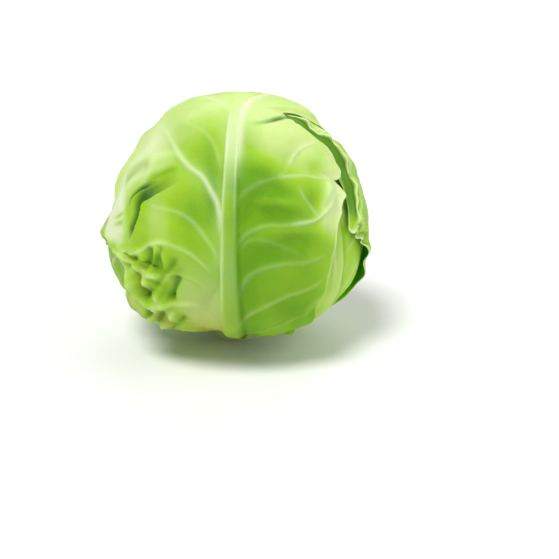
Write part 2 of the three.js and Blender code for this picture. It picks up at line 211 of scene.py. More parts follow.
# Where each tone of the cut face lies, from 0 in the pith to 1 at the rim.
STRAND_TONES = (
    (0.52, (0.78, 0.79, 0.50, 1)),
    (0.60, (0.50, 0.56, 0.22, 1)),
    (0.68, (0.76, 0.78, 0.48, 1)),
)

bpy.ops.object.select_all(action="DESELECT")
bpy.ops.mesh.primitive_cylinder_add(vertices=96, radius=STALK_RADIUS, depth=STALK_HEIGHT)
stalk = bpy.context.object
stalk.name = "cut_stalk"
select_faces(stalk, lambda centre: centre.z < 1 - STALK_HEIGHT / 2)
bpy.ops.mesh.inset(thickness=RIM_BEVEL)
for _ in range(RINGS):
    bpy.ops.mesh.inset(thickness=RING_WIDTH)
bpy.ops.object.mode_set(mode="OBJECT")
points = read_points(stalk)
height = points[:, 2] + STALK_HEIGHT / 2
taper = 1 - (1 - STALK_TIP_RADIUS / STALK_RADIUS) * smooth(height, TAPER_START, STALK_HEIGHT)
rim = np.hypot(points[:, 0], points[:, 1]) > STALK_RADIUS - 0.1
height = np.where(rim & (height < 1), RIM_BEVEL, np.maximum(height, 0))
points = np.column_stack([points[:, 0] * taper, points[:, 1] * taper, height])
write_points(stalk, points)
bpy.ops.object.shade_smooth_by_angle(angle=math.radians(40))


def stalk_material():
    """Cream flesh with a paler pith and a ring of darker strands, roughened by the knife."""
    material, nodes, links, shader = new_material("cut_stalk_flesh")
    set_inputs(shader, {
        "Roughness": 0.6,
        "Subsurface Weight": 0.3,
        "Subsurface Radius": (0.8, 0.9, 0.4),
        "Subsurface Scale": 0.003,
    })
    place = nodes.new("ShaderNodeTexCoord")
    flatten = nodes.new("ShaderNodeVectorMath")
    flatten.operation = "MULTIPLY"
    flatten.inputs[1].default_value = (1, 1, 0)
    links.new(place.outputs["Object"], flatten.inputs[0])
    fibres = nodes.new("ShaderNodeTexNoise")
    set_inputs(fibres, {"Scale": 260, "Detail": 4})
    links.new(place.outputs["Object"], fibres.inputs["Vector"])
    distance = nodes.new("ShaderNodeVectorMath")
    distance.operation = "LENGTH"
    links.new(flatten.outputs["Vector"], distance.inputs[0])
    frayed = nodes.new("ShaderNodeMath")
    frayed.operation = "MULTIPLY_ADD"
    frayed.inputs[1].default_value = 0.004
    links.new(fibres.outputs["Fac"], frayed.inputs[0])
    links.new(distance.outputs["Value"], frayed.inputs[2])
    rings = nodes.new("ShaderNodeValToRGB")
    ramp = rings.color_ramp
    ramp.elements[0].position = 0
    ramp.elements[0].color = (0.80, 0.80, 0.55, 1)
    ramp.elements[1].position = 1
    ramp.elements[1].color = (0.52, 0.62, 0.22, 1)
    for position, colour in STRAND_TONES:
        ramp.elements.new(position).color = colour
    spread = nodes.new("ShaderNodeMath")
    spread.operation = "DIVIDE"
    spread.inputs[1].default_value = (STALK_RADIUS + 2) * METRES
    links.new(frayed.outputs["Value"], spread.inputs[0])
    links.new(spread.outputs["Value"], rings.inputs["Fac"])
    links.new(rings.outputs["Color"], shader.inputs["Base Color"])
    bump = nodes.new("ShaderNodeBump")
    set_inputs(bump, {"Strength": 0.4, "Distance": 0.0006})
    links.new(fibres.outputs["Fac"], bump.inputs["Height"])
    links.new(bump.outputs["Normal"], shader.inputs["Normal"])
    return material


stalk.data.materials.append(stalk_material())
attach(stalk, "root")
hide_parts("stalk")

# The leaves, from the heart outwards. Each grows from the side of the stalk about 137.5 degrees
# round from the last one and is a bowl that lies on all those before it. Lengths are in mm, and
# what depends on an outline is in degrees seen from the middle of the head.
LEAF_GAP = 1.8
BLADE_ROOM = 1
LEAF_PITCH = LEAF_GAP + BLADE_ROOM
FOOT_CLIMB = -73
STALK_CLEARANCE = 1.6
PETIOLE_HALF_WIDTH = 10.5
BASE_WRAP = 3
WIDENING = 17
TIP_ROUND = 17
VEIN_RISE = 20
RIB_FADE = 58
PUCKER_HEIGHT = 1.3
PUCKER_WAVELENGTH = 42
MARGIN_LIFT = 3.0
MARGIN_LIFT_REACH = 22
MARGIN_WAVELENGTH = 34
# Sets the right margin's waves apart from the left one's.
MARGIN_SHIFT = 400
LEAST_CLEARANCE = 0.3
MARGIN_THICKNESS = 0.5
MIDDLE_THICKNESS = 0.9
# Above 1, these crowd a blade's points towards its midrib and its foot.
CROWDING_ACROSS = 1.15
CROWDING_ALONG = 1.1
VEIN_PAIRS = 9
VEIN_SPACING = 19


def gaussian(x):
    return np.exp(-(x * x))


def band(x, low, full, fading, gone):
    """0 up to low, 1 from full to fading, and 0 again from gone on."""
    return smooth(x, low, full) * (1 - smooth(x, fading, gone))


def softened(values, reach):
    """Rounds the corners of a line of evenly spaced values."""
    kernel = np.hanning(2 * reach + 3)[1:-1]
    padded = np.pad(values, reach, mode="reflect", reflect_type="odd")
    return np.convolve(padded, kernel / kernel.sum(), "valid")


class DrawnMargin:
    """One side of a leaf's outline, through listed points, in degrees.

    Each point says where a row of the blade leaves the midrib, and the climb and the sideways
    angle at which that row ends.
    """

    def __init__(self, points):
        start, climb, sideways = np.array(points, dtype=float).T
        self.starts = np.linspace(start[0], start[-1], 1200)
        self.climbs = softened(np.interp(self.starts, start, climb), 6)
        self.sides = softened(np.interp(self.starts, start, sideways), 6)

    def ends(self, start):
        return np.interp(start, self.starts, self.climbs), np.interp(start, self.starts, self.sides)


class GrownMargin:
    """One side of a plain leaf's outline: it opens above the leaf stalk and rounds to the tip."""

    def __init__(self, leaf, width):
        self.leaf = leaf
        self.width = width

    def ends(self, start):
        leaf = self.leaf
        u = np.clip((start - leaf.base) / (leaf.tip - leaf.base), 0, 1)
        climb = start + VEIN_RISE * np.sin(math.pi * u**0.85)
        climb = climb - BASE_WRAP * (1 - u) ** 6 - TIP_ROUND * u**4
        opened = np.maximum(climb - leaf.base, 0) / WIDENING
        spread = 1 - np.exp(-(opened**1.2))
        narrowing = 1 - 0.38 * smooth(climb, 40, leaf.tip)
        return climb, PETIOLE_HALF_WIDTH + (self.width - PETIOLE_HALF_WIDTH) * spread * narrowing


class Leaf:
    """One leaf's outline and its place on the head, in degrees seen from the head's middle.

    climb runs along the midrib from the foot over the crown, and sideways runs across it. The
    margins left and right of the midrib are widths, or listed points.
    """

    def __init__(self, name, azimuth, left, right, tip, rib, seed, lean=0):
        self.name = name
        self.azimuth = azimuth
        self.margins = {-1: left, 1: right}
        self.tip = tip
        self.rib = rib
        self.seed = seed
        self.lean = lean
        self.puckers = lump_field(seed, PUCKER_WAVELENGTH)
        turn = math.radians(azimuth)
        self.forward = np.array([math.sin(turn), -math.cos(turn), 0])
        self.up = np.array([0, 0, 1.0])
        self.side = np.array([math.cos(turn), math.sin(turn), 0])

    def unfold(self, base):
        """Sets the climb at which the leaf leaves the stalk, and draws its outline."""
        self.base = base
        for hand, margin in self.margins.items():
            made = GrownMargin(self, margin) if isinstance(margin, (int, float)) else DrawnMargin(margin)
            self.margins[hand] = made
        halves = []
        for margin in (self.margins[-1], self.margins[1]):
            climb, sideways = margin.ends(np.linspace(self.base, self.tip, 70))
            shares = np.array([0.8, 0.6, 0.4, 0.2])
            climb = np.append(climb, self.tip - (self.tip - climb[-1]) * shares**2.5)
            halves.append(np.column_stack([climb, np.append(sideways, sideways[-1] * shares)]))
        self.outline = np.concatenate([halves[0] * (1, -1), halves[1][::-1]])

    def direction(self, climb, sideways):
        """Unit vectors from the head's middle towards places on the leaf."""
        a = np.radians(np.atleast_1d(climb))[:, None]
        b = np.radians(np.atleast_1d(sideways))[:, None]
        level = np.cos(a) * self.forward + np.sin(a) * self.up
        return np.cos(b) * level + np.sin(b) * self.side

    def chart(self, directions):
        """The climb and the sideways angle of each direction, the reverse of direction."""
        turn = np.degrees(np.arctan2(directions @ self.up, directions @ self.forward))
        climb = np.where(turn < -125, turn + 360, turn)
        return climb, np.degrees(np.arcsin(np.clip(directions @ self.side, -1, 1)))

    def rib_centre(self, climb):
        """How far the midrib has leant sideways at a climb."""
        return self.lean * smooth(climb, 15, 85)

    def outside_by(self, directions):
        """Degrees from the leaf's outline, below 0 inside it."""
        climb, sideways = self.chart(directions)
        nearest = np.full(len(climb), 1e9)
        inside = np.zeros(len(climb), dtype=bool)
        for (low, left), (high, right) in zip(self.outline, np.roll(self.outline, -1, axis=0)):
            rise = high - low
            run = right - left
            share = ((climb - low) * rise + (sideways - left) * run) / (rise * rise + run * run + 1e-9)
            share = np.clip(share, 0, 1)
            gap = np.hypot(climb - low - share * rise, sideways - left - share * run)
            nearest = np.minimum(nearest, gap)
            crossed = (low > climb) != (high > climb)
            level = left + (climb - low) * run / np.where(rise == 0, 1, rise)
            inside ^= crossed & (sideways < level)
        return np.where(inside, -nearest, nearest)

    def rib_half_width(self, climb):
        return 2.4 + 9.6 * np.exp(-np.maximum(climb - self.base, 0) / 62)

    def rib_height(self, climb):
        return self.rib * np.exp(-np.maximum(climb - self.base, 0) / RIB_FADE)

    def swell_under(self, directions):
        """What this leaf adds to the radius of every leaf that lies over it."""
        climb, sideways = self.chart(directions)
        across = np.radians(np.abs(sideways - self.rib_centre(climb))) * HEART_SIDE
        rib = 1 - smooth(across / self.rib_half_width(climb), 0.81, 1.8)
        covered = 1 - smooth(self.outside_by(directions), 3, 15)
        return covered * (LEAF_PITCH + self.rib_height(climb) * rib)


# Margins given point by point, each row's start on the midrib and the climb and sideways angle of its end.
BACK_LEFT = [
    (-75, -78, 9), (-66, -67, 24), (-50, -44, 46), (-30, -18, 61), (-10, 6, 69), (5, 24, 73),
    (18, 38, 74.5), (28, 48, 75), (34, 53, 74), (38, 56, 70), (42, 58.5, 64), (46, 62, 57), (50, 66, 51),
    (56, 72, 46), (64, 79, 42), (74, 87, 37), (88, 96, 30), (102, 104, 20), (116, 110, 12),
]
FRONT_LEFT = [
    (-75, -78, 9), (-66, -66, 22), (-56, -54, 36), (-46, -42, 46), (-37, -31, 51), (-29, -21, 52),
    (-22, -12, 51.5), (-16, -4, 52.5), (-12, 0.5, 55), (-9, 4, 59), (-6, 5.5, 68), (-4, 5, 77),
    (-2, 7, 82.5), (1, 13, 85.5), (8, 24, 86.5), (20, 38, 86), (35, 53, 84), (50, 67, 79), (65, 80, 71),
    (80, 91, 62),
    (95, 100, 53), (110, 107, 45), (126, 112, 35),
]
FRONT_RIGHT = [
    (-75, -78, 9), (-66, -66, 20), (-55, -51, 30), (-40, -33, 38), (-20, -9, 44), (-8, 6, 47),
    (4, 20, 50.5), (14, 31, 52), (24, 42, 52.5), (30, 48.5, 52.5), (33, 52, 49), (34, 53, 44),
    (35, 54, 47.5), (38, 57.5, 49.5), (44, 63.5, 49.5), (49, 69, 48), (52, 71.5, 44.5), (55, 73.8, 38),
    (58, 72, 31.5), (60.5, 73, 26), (62.5, 74.2, 22), (64.5, 76.4, 18.8), (66.5, 79.3, 17.6),
    (69, 82, 21), (72, 85, 25.5), (77, 89.5, 31), (84, 95.5, 36), (93, 102.5, 40.5), (105, 108, 42),
    (118, 112, 38), (126, 114, 33),
]
LEAVES = [
    Leaf("inner_leaf_1", 100, 66, 68, 110, 3.0, 22),
    Leaf("inner_leaf_2", -37, 68, 66, 114, 3.2, 23),
    Leaf("inner_leaf_3", 186, 66, 70, 116, 3.4, 24),
    Leaf("inner_leaf_4", 50, 72, 74, 112, 3.6, 25),
    Leaf("wrapper_leaf_left", -92, 74, 74, 112, 5.0, 26),
    Leaf("wrapper_leaf_back", 136, BACK_LEFT, 78, 116, 5.5, 27),
    Leaf("wrapper_leaf_front", -4, FRONT_LEFT, FRONT_RIGHT, 126, 5.5, 28, lean=1),
]
FRONT_LEAF = LEAVES[6]


def radius_under(index, directions):
    """The radius of what a leaf lies on: the heart and every leaf before it."""
    total = heart_radius(directions)
    for leaf in LEAVES[:index]:
        total = total + leaf.swell_under(directions)
    return total


def freedom(index, directions):
    """1 where no later leaf lies over a direction, and 0 where one does."""
    free = np.ones(len(directions))
    for above in LEAVES[index + 1:]:
        free = free * smooth(above.outside_by(directions), 1, 8)
    return free


for index, leaf in enumerate(LEAVES):
    near_stalk = radius_under(index, leaf.direction(FOOT_CLIMB, 0))[0] + LEAF_GAP
    leaf.unfold(math.degrees(math.asin((STALK_RADIUS + STALK_CLEARANCE) / near_stalk)) - 90)


class Path:
    """A line on the head through listed points (climb, sideways) of one leaf."""

    def __init__(self, leaf, points, pieces=6):
        points = np.array(points, dtype=float)
        stations = np.arange(len(points))
        fine = np.linspace(0, len(points) - 1, (len(points) - 1) * pieces + 1)
        rounded = [softened(np.interp(fine, stations, column), pieces // 2) for column in points.T]
        self.knots = leaf.direction(*rounded) * SPOT_RADIUS

    def measure(self, spots):
        """How far a spot is from the line in mm, how far along it (0 to 1), and the way to it.

        The distance is below 0 on the line's left, seen from outside along its run.
        """
        best = np.full(len(spots), 1e9)
        along = np.zeros(len(spots))
        signed = np.zeros(len(spots))
        way = np.zeros((len(spots), 3))
        steps = len(self.knots) - 1
        for number, (start, end) in enumerate(zip(self.knots[:-1], self.knots[1:])):
            run = end - start
            share = np.clip((spots - start) @ run / (run @ run), 0, 1)
            gap = spots - start - share[:, None] * run
            distance = np.sqrt((gap * gap).sum(axis=1))
            nearer = distance < best
            best = np.where(nearer, distance, best)
            along = np.where(nearer, (number + share) / steps, along)
            signed = np.where(nearer, np.sign(gap @ np.cross(run, start)) * distance, signed)
            way = np.where(nearer[:, None], -gap / np.maximum(distance, 0.01)[:, None], way)
        return signed, along, way


def grid_slab(name, rows, columns):
    """A flat slab from -1 to 1 each way and 1 thick, whose points a leaf then takes."""
    bpy.ops.object.select_all(action="DESELECT")
    bpy.ops.mesh.primitive_grid_add(x_subdivisions=columns, y_subdivisions=rows, size=2)
    slab = bpy.context.object
    slab.name = name
    bpy.ops.object.mode_set(mode="EDIT")
    bpy.ops.mesh.extrude_region_move(TRANSFORM_OT_translate={"value": (0, 0, 1)})
    bpy.ops.mesh.select_all(action="SELECT")
    bpy.ops.mesh.normals_make_consistent(inside=False)
    bpy.ops.object.mode_set(mode="OBJECT")
    return slab


def write_measure(piece, name, values):
    measure = piece.data.attributes.new(name, "FLOAT", "POINT")
    measure.data.foreach_set("value", np.asarray(values, dtype=np.float32))


class Place:
    """Where each point of a blade lies on its leaf and on the head, and what stands out there.

    height, lift and slide are in mm. From 0 to 1, vein says how much a point has of the ribs'
    colour, the painted shade how dark a shade is painted there, tone how pale its green is, with
    painted light and shade in it, and groove how deep in a fold it is.
    """

    def __init__(self, leaf, index, across, up):
        v = np.sign(across) * np.abs(across) ** CROWDING_ACROSS
        u = ((up + 1) / 2) ** CROWDING_ALONG
        self.share = np.abs(v)
        self.hand = np.where(v < 0, -1, 1)
        tip_wave = 1.5 * wander(70 * v + 100, leaf.seed + 80, 26) * smooth(u, 0.8, 1)
        start = leaf.base + (leaf.tip - leaf.base) * u + tip_wave
        left_ends, right_ends = [leaf.margins[hand].ends(start) for hand in (-1, 1)]
        end_climb, end_side = np.where(self.hand < 0, left_ends, right_ends)
        near_tip = smooth(start, leaf.tip - 60, leaf.tip)
        rising = (1 - near_tip) * (1 - (1 - self.share) ** 1.8) + near_tip * self.share**2.5
        self.climb = start + (end_climb - start) * rising
        self.along = np.radians(self.climb) * HEART_SIDE
        self.margin_mm = np.radians(end_side * (1 - self.share)) * SPOT_RADIUS
        self.sideways = leaf.rib_centre(self.climb) + v * end_side * margin_cut(leaf, self)
        self.directions = leaf.direction(self.climb, self.sideways)
        self.spots = self.directions * SPOT_RADIUS
        self.free = freedom(index, self.directions)
        self.rib_across = np.radians(self.sideways - leaf.rib_centre(self.climb)) * SPOT_RADIUS
        count = len(self.climb)
        self.height = np.zeros(count)
        self.lift = np.zeros(count)
        self.vein = np.zeros(count)
        self.painted_shade = np.zeros(count)
        self.tone = np.zeros(count)
        self.groove = np.zeros(count)
        self.slide = np.zeros((count, 3))

    def whiten(self, amount):
        self.vein = np.maximum(self.vein, amount)

    def shade(self, amount):
        self.painted_shade = np.maximum(self.painted_shade, amount)

    def soft_spot(self, climb, sideways, reach_up, reach_across):
        """1 in the middle of a soft round spot, which fades within its reach in degrees."""
        up = gaussian((self.climb - climb) / reach_up)
        return up * gaussian((self.sideways - sideways) / reach_across)


def wander(along, seed, wavelength):
    """A gentle random wave along a margin, between about -1 and 1."""
    draw = seeded_random(seed)
    total = 0
    for _ in range(5):
        size = 2 * math.pi / (wavelength * (0.6 + 1.2 * next(draw)))
        total = total + np.sin(size * along + 2 * math.pi * next(draw))
    return total / 2.2


def margin_cut(leaf, place):
    """The margin runs in and out by about a millimetre, with small nicks."""
    where = place.along + MARGIN_SHIFT * place.hand
    cut = 0.011 * wander(where, leaf.seed, 30) + 0.0015 * wander(where, leaf.seed + 50, 9)
    return 1 + cut * smooth(place.share, 0.7, 1)


def add_vein(place, path, height, half_width, paleness, fade=0.3, grown=0.22):
    """A raised vein that narrows outwards, in a shallow valley, with a paler line along it.

    fade is how much weaker it is at its end, and grown the share of it that it takes to begin.
    """
    distance, along, _ = path.measure(place.spots)
    width = half_width * (1 - 0.35 * along)
    strength = (1 - fade * along) * smooth(along, -0.02, grown) * (1 - smooth(along, 0.86, 1))
    valley = 0.5 * height * strength * gaussian(distance / (5 * width))
    place.height += 1.3 * height * strength * gaussian(distance / width) - valley
    line = 0.92 * gaussian(distance / width) + 0.08 * gaussian(distance / (3 * width))
    place.whiten(paleness * strength * line)


def side_veins(leaf, place):
    """Veins leave the midrib in turn, left and right, and rise towards the margin in a curve."""
    draw = seeded_random(leaf.seed * 7)
    for number in range(VEIN_PAIRS):
        for hand in (-1, 1):
            start = leaf.base + 8 + number * VEIN_SPACING + 5 * hand + 5 * next(draw)
            rise = 20 + 9 * next(draw) + 14 * math.exp(-number / 2)
            wobble = 3 * next(draw)
            reach = float(leaf.margins[hand].ends(np.array([min(start, leaf.tip)]))[1][0])
            points = []
            for step in range(9):
                t = step / 8
                climb = start + rise * (1 - (1 - t) ** 1.8) + wobble * math.sin(5 * t + number)
                points.append((climb, leaf.rib_centre(climb) + hand * (1.5 + 0.92 * reach * t)))
            size = 1 - 0.06 * number
            add_vein(place, Path(leaf, points), 0.7 * size, 1.7 * size, 0.5 * size)
            fork = points[4]
            bend = [(fork[0] + 6 * k + 0.8 * k * k, fork[1] + hand * 5.5 * k) for k in range(4)]
            add_vein(place, Path(leaf, bend), 0.35 * size, 1.5 * size, 0.3 * size)


def midrib(leaf, place):
    """A rounded ridge with a fine pale line along each side, widest and highest at the foot.

    It is as green as the blade low down, whitens upwards and ends where its last veins part.
    """
    across = place.rib_across / leaf.rib_half_width(place.climb)
    x = np.abs(across)
    going_on = 1 - smooth(place.climb, 52, 80)
    left_line = gaussian((across + 0.78) / 0.17) * going_on
    right_line = gaussian((across - 0.78) / 0.17) * going_on * smooth(place.climb, 10, 50)
    foot_crease = gaussian((across - 1.25) / 0.28) * (1 - smooth(place.climb, 20, 60))
    ridge = leaf.rib_height(place.climb) * (1 - smooth(x, 0.4, 1.1)) * going_on
    place.height = place.height * smooth(x, 0.5, 1.3) + ridge + 0.35 * left_line - 0.4 * foot_crease
    # Painted shade in the crease along the rib's foot.
    place.shade(0.3 * foot_crease)
    yellowed = 0.16 * (1 - smooth(place.climb, -8, 26))
    whitened = 0.7 * smooth(place.climb, 28, 66)
    on_rib = (1 - smooth(x, 0.75, 1.05)) * going_on * (0.04 + yellowed + whitened)
    place.vein = place.vein * (1 - going_on * (1 - smooth(x, 0.7, 1)))
    place.whiten(on_rib + 0.45 * left_line + 0.35 * right_line)


def grow_blade(leaf, rows, columns, sculpt, material):
    """Lays a slab on what is under its leaf, raises what stands out, and paints it."""
    index = LEAVES.index(leaf)
    piece = grid_slab(leaf.name + "_blade", rows, columns)
    across, up, layer = read_points(piece).T
    outer = layer > 0.5
    place = Place(leaf, index, across, up)
    margin_lift(leaf, place)
    sculpt(leaf, place)
    midrib(leaf, place)
    solid = np.clip(place.vein, 0, 1)
    raised = place.height * np.where(place.height > 0, np.maximum(place.free, solid * 0.6), place.free)
    relief = np.where(outer, raised, 0.85 * place.height * place.free * (1 - solid))
    middle = 1 - place.share**3
    thickness = MARGIN_THICKNESS + (MIDDLE_THICKNESS - MARGIN_THICKNESS) * middle
    thickness = np.where(outer, thickness, 0)
    under = radius_under(index, place.directions)
    radius = under + LEAF_GAP + place.free * place.lift + relief
    radius = np.maximum(radius, under + LEAST_CLEARANCE) + thickness
    write_points(piece, HEAD_CENTRE + place.directions * radius[:, None] + place.slide)
    edge = 0.5 * smooth(place.share, 0.975, 0.995)
    write_measure(piece, "vein", np.clip(place.vein + edge, 0, 1))
    write_measure(piece, "painted_shade", np.clip(place.painted_shade, 0, 1))
    write_measure(piece, "tone", np.clip(place.tone, 0, 1))
    bpy.ops.object.shade_smooth_by_angle(angle=math.radians(50))
    piece.data.materials.append(material)
    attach(piece, "root")
    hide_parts(leaf.name)
    return piece


def margin_lift(leaf, place):
    """Wide puckers all over the blade, and long waves that lift its margin."""
    pucker = PUCKER_HEIGHT * (0.6 + 0.4 * leaf.puckers(place.directions * HEART_SIDE))
    where = place.along + MARGIN_SHIFT * place.hand
    wave = 0.5 + 0.5 * wander(where, leaf.seed + 9, MARGIN_WAVELENGTH)
    near = 1 - smooth(place.margin_mm, 0, MARGIN_LIFT_REACH)
    lifted = MARGIN_LIFT * np.maximum(wave, 0) * near
    place.lift = pucker * smooth(place.share, 0.1, 0.5) + lifted


def leaf_material(name, deep, mid, pale, low_rib, high_rib):
    """Waxy leaf skin: greens by tone, with painted light and shade in it, ribs that whiten upwards, fine
    veins, a dark painted shade and a soft gloss.
    """
    material, nodes, links, shader = new_material(name)
    set_inputs(shader, {
        "Subsurface Weight": 0.45,
        "Subsurface Radius": (0.45, 1.0, 0.05),
        "Subsurface Scale": 0.003,
        "Specular IOR Level": 0.18,
        "Coat Weight": 0.02,
        "Coat Roughness": 0.3,
        "IOR": 1.42,
    })

    def node(kind, **settings):
        made = nodes.new(kind)
        for key, value in settings.items():
            setattr(made, key, value)
        return made

    def measure(attribute):
        return node("ShaderNodeAttribute", attribute_name=attribute).outputs["Fac"]

    def mixed(factor, first, second):
        mix = node("ShaderNodeMix", data_type="RGBA")
        links.new(factor, mix.inputs["Factor"])
        colours = [socket for socket in mix.inputs if socket.type == "RGBA"]
        for socket, value in zip(colours, (first, second)):
            if isinstance(value, tuple):
                socket.default_value = value
            else:
                links.new(value, socket)
        return [socket for socket in mix.outputs if socket.type == "RGBA"][0]

    def ranged(value, low, high, to_low, to_high):
        remap = node("ShaderNodeMapRange")
        set_inputs(remap, {"From Min": low, "From Max": high, "To Min": to_low, "To Max": to_high})
        links.new(value, remap.inputs["Value"])
        return remap.outputs["Result"]

    def summed(first, second):
        total = node("ShaderNodeMath", operation="ADD")
        links.new(first, total.inputs[0])
        links.new(second, total.inputs[1])
        return total.outputs["Value"]

    place = node("ShaderNodeTexCoord").outputs["Object"]

    def noise(scale, detail, roughness=0.5):
        made = node("ShaderNodeTexNoise")
        set_inputs(made, {"Scale": scale, "Detail": detail, "Roughness": roughness})
        links.new(place, made.inputs["Vector"])
        return made.outputs["Fac"]

    def vein_net(scale):
        """A fine net of veins, bent by noise so that its meshes have no straight sides."""
        bend = node("ShaderNodeTexNoise")
        set_inputs(bend, {"Scale": 0.7 * scale})
        links.new(place, bend.inputs["Vector"])
        bent = node("ShaderNodeVectorMath", operation="MULTIPLY_ADD")
        bent.inputs[1].default_value = (0.7 / scale,) * 3
        links.new(bend.outputs["Color"], bent.inputs[0])
        links.new(place, bent.inputs[2])
        made = node("ShaderNodeTexVoronoi", feature="DISTANCE_TO_EDGE")
        set_inputs(made, {"Scale": scale})
        links.new(bent.outputs["Vector"], made.inputs["Vector"])
        return made.outputs["Distance"]

    tone = summed(measure("tone"), ranged(noise(30, 4), 0.3, 0.7, -0.12, 0.12))
    greens = node("ShaderNodeValToRGB")
    ramp = greens.color_ramp
    ramp.elements[0].color = deep
    ramp.elements[1].color = pale
    ramp.elements.new(0.5).color = mid
    links.new(tone, greens.inputs["Fac"])
    height = node("ShaderNodeSeparateXYZ")
    links.new(place, height.inputs["Vector"])
    rib = mixed(ranged(height.outputs["Z"], 0.03, 0.085, 0, 1), low_rib, high_rib)
    net = vein_net(340)
    lamina = mixed(ranged(net, 0, 0.16, 0.018, 0), greens.outputs["Color"], rib)
    skin = mixed(measure("vein"), lamina, rib)
    # Painted shade: a dark deep green that the shade measure lays into folds, grooves and gaps.
    shaded = (0.32 * deep[0], 0.43 * deep[1], 0, 1)
    skin = mixed(measure("painted_shade"), skin, shaded)
    links.new(skin, shader.inputs["Base Color"])
    links.new(ranged(noise(90, 5), 0.3, 0.7, 0.4, 0.52), shader.inputs["Roughness"])

    bump = node("ShaderNodeBump")
    set_inputs(bump, {"Strength": 0.3, "Distance": 0.0004})
    links.new(noise(420, 6, 0.6), bump.inputs["Height"])
    net_bump = node("ShaderNodeBump")
    set_inputs(net_bump, {"Strength": 0.1, "Distance": 0.0004})
    links.new(ranged(net, 0, 0.16, 1, 0), net_bump.inputs["Height"])
    links.new(bump.outputs["Normal"], net_bump.inputs["Normal"])
    links.new(net_bump.outputs["Normal"], shader.inputs["Normal"])
    return material


outer_skin = leaf_material(
    "outer_leaf_skin",
    deep=(0.135, 0.34, 0.004, 1),
    mid=(0.32, 0.57, 0.022, 1),
    pale=(0.60, 0.82, 0.27, 1),
    low_rib=(0.46, 0.50, 0.09, 1),
    high_rib=(0.76, 0.90, 0.56, 1),
)
inner_skin = leaf_material(
    "inner_leaf_skin",
    deep=(0.16, 0.40, 0.004, 1),
    mid=(0.34, 0.60, 0.035, 1),
    pale=(0.60, 0.80, 0.25, 1),
    low_rib=(0.55, 0.66, 0.18, 1),
    high_rib=(0.75, 0.88, 0.48, 1),
)


# The heart, the many small leaves packed round the stalk. Its skin is stepped where their edges
# end, and a pocket in its foot holds the stalk. Little of it shows between the leaf stalks.
HEART_STEP = 1.1
MOUTH_RADIUS = STALK_RADIUS + 0.4
POCKET_DEPTH = 0.55

bpy.ops.object.select_all(action="DESELECT")
bpy.ops.mesh.primitive_uv_sphere_add(segments=160, ring_count=96, radius=1)
heart = bpy.context.object
heart.name = "packed_heart"
mouth_share = MOUTH_RADIUS / math.hypot(MOUTH_RADIUS, HEART_FOOT)
select_faces(heart, lambda centre: centre.z < 0 and math.hypot(centre.x, centre.y) < mouth_share)
bpy.ops.mesh.extrude_region_move(TRANSFORM_OT_translate={"value": (0, 0, POCKET_DEPTH)})
bpy.ops.object.mode_set(mode="OBJECT")
points = read_points(heart)
skin = np.linalg.norm(points, axis=1) > 0.999
directions = points / np.linalg.norm(points, axis=1)[:, None]
turn = np.arctan2(directions[:, 1], directions[:, 0]) / (2 * math.pi)
climb = np.arcsin(np.clip(directions[:, 2], -1, 1)) / math.pi + 0.5
winding = (3 * turn + 1.6 * climb) % 1
step = HEART_STEP * smooth(winding, 0, 0.12) * (1 - smooth(winding, 0.3, 1)) * np.sin(math.pi * climb)
on_skin = directions * (heart_radius(directions) - step)[:, None]
near_mouth = skin & (directions[:, 2] < -0.5)
opened = np.maximum(1, (MOUTH_RADIUS + 0.01) / np.maximum(np.hypot(on_skin[:, 0], on_skin[:, 1]), 0.01))
on_skin[:, :2] = on_skin[:, :2] * np.where(near_mouth, opened, 1)[:, None]
pocket = np.column_stack([points[:, :2] * MOUTH_RADIUS / mouth_share, points[:, 2] * HEART_FOOT])
write_points(heart, HEAD_CENTRE + np.where(skin[:, None], on_skin, pocket))
bpy.ops.object.shade_smooth_by_angle(angle=math.radians(50))
for name, value in (("vein", 0.15), ("painted_shade", 0), ("tone", 1)):
    write_measure(heart, name, np.full(len(points), value))
heart_skin = leaf_material(
    "heart_skin",
    deep=(0.40, 0.60, 0.14, 1),
    mid=(0.50, 0.68, 0.22, 1),
    pale=(0.66, 0.78, 0.38, 1),
    low_rib=(0.70, 0.76, 0.44, 1),
    high_rib=(0.76, 0.84, 0.52, 1),
)
heart.data.materials.append(heart_skin)
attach(heart, "root")
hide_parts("heart")


def sculpt_plain(leaf, place):
    """Side veins, low ripples, and a green that pales towards the crown."""
    side_veins(leaf, place)
    ripples = lump_field(leaf.seed + 40, 15)
    place.height += 0.35 * ripples(place.spots)
    place.tone = 0.3 + 0.45 * smooth(place.climb, 20, 100)


# The three innermost leaves, pale blades with a thick rib. Each grows from the side of the stalk
# and lies on the heart, and they barely show, in the gaps round the stalk.
for leaf in LEAVES[:3]:
    blade = grow_blade(leaf, 80, 64, sculpt_plain, inner_skin)


# The fourth inner leaf, which lies on those three. It shows low on the right, in the shade of the
# ruffled margin, in one even green.
def sculpt_deep(leaf, place):
    sculpt_plain(leaf, place)
    place.tone = np.full(len(place.climb), 0.5)


blade = grow_blade(LEAVES[3], 130, 100, sculpt_deep, inner_skin)


# The left wrapper leaf, darker and thicker than the inner ones, with pale ribs. It lies under the
# left margin of the front leaf, which casts a deep green painted shadow on it along its crumpled corner.
def sculpt_left(leaf, place):
    sculpt_plain(leaf, place)
    climb, sideways = FRONT_LEAF.chart(place.directions)
    close = 1 - smooth(FRONT_LEAF.outside_by(place.directions), 1.5, 5.5)
    # Painted shadow of the front leaf's crumpled corner.
    place.shade(0.85 * gaussian((climb + 9) / 13) * close * smooth(-sideways, 30, 40))


blade = grow_blade(LEAVES[4], 170, 140, sculpt_left, outer_skin)

# The back wrapper leaf, which wraps the back and the right. Its free margin is ruffled. Higher up
# the ruffle goes on as a sharp fold along this line of (climb, sideways) on the leaf.
RUFFLE = [
    (86, -18), (82, -23), (78, -25), (76, -28), (75, -31), (72, -33), (68, -34), (65, -35), (61, -37),
    (57, -39), (53, -42), (50, -45), (48, -49), (47, -54), (46, -60), (46, -66), (47, -73),
]


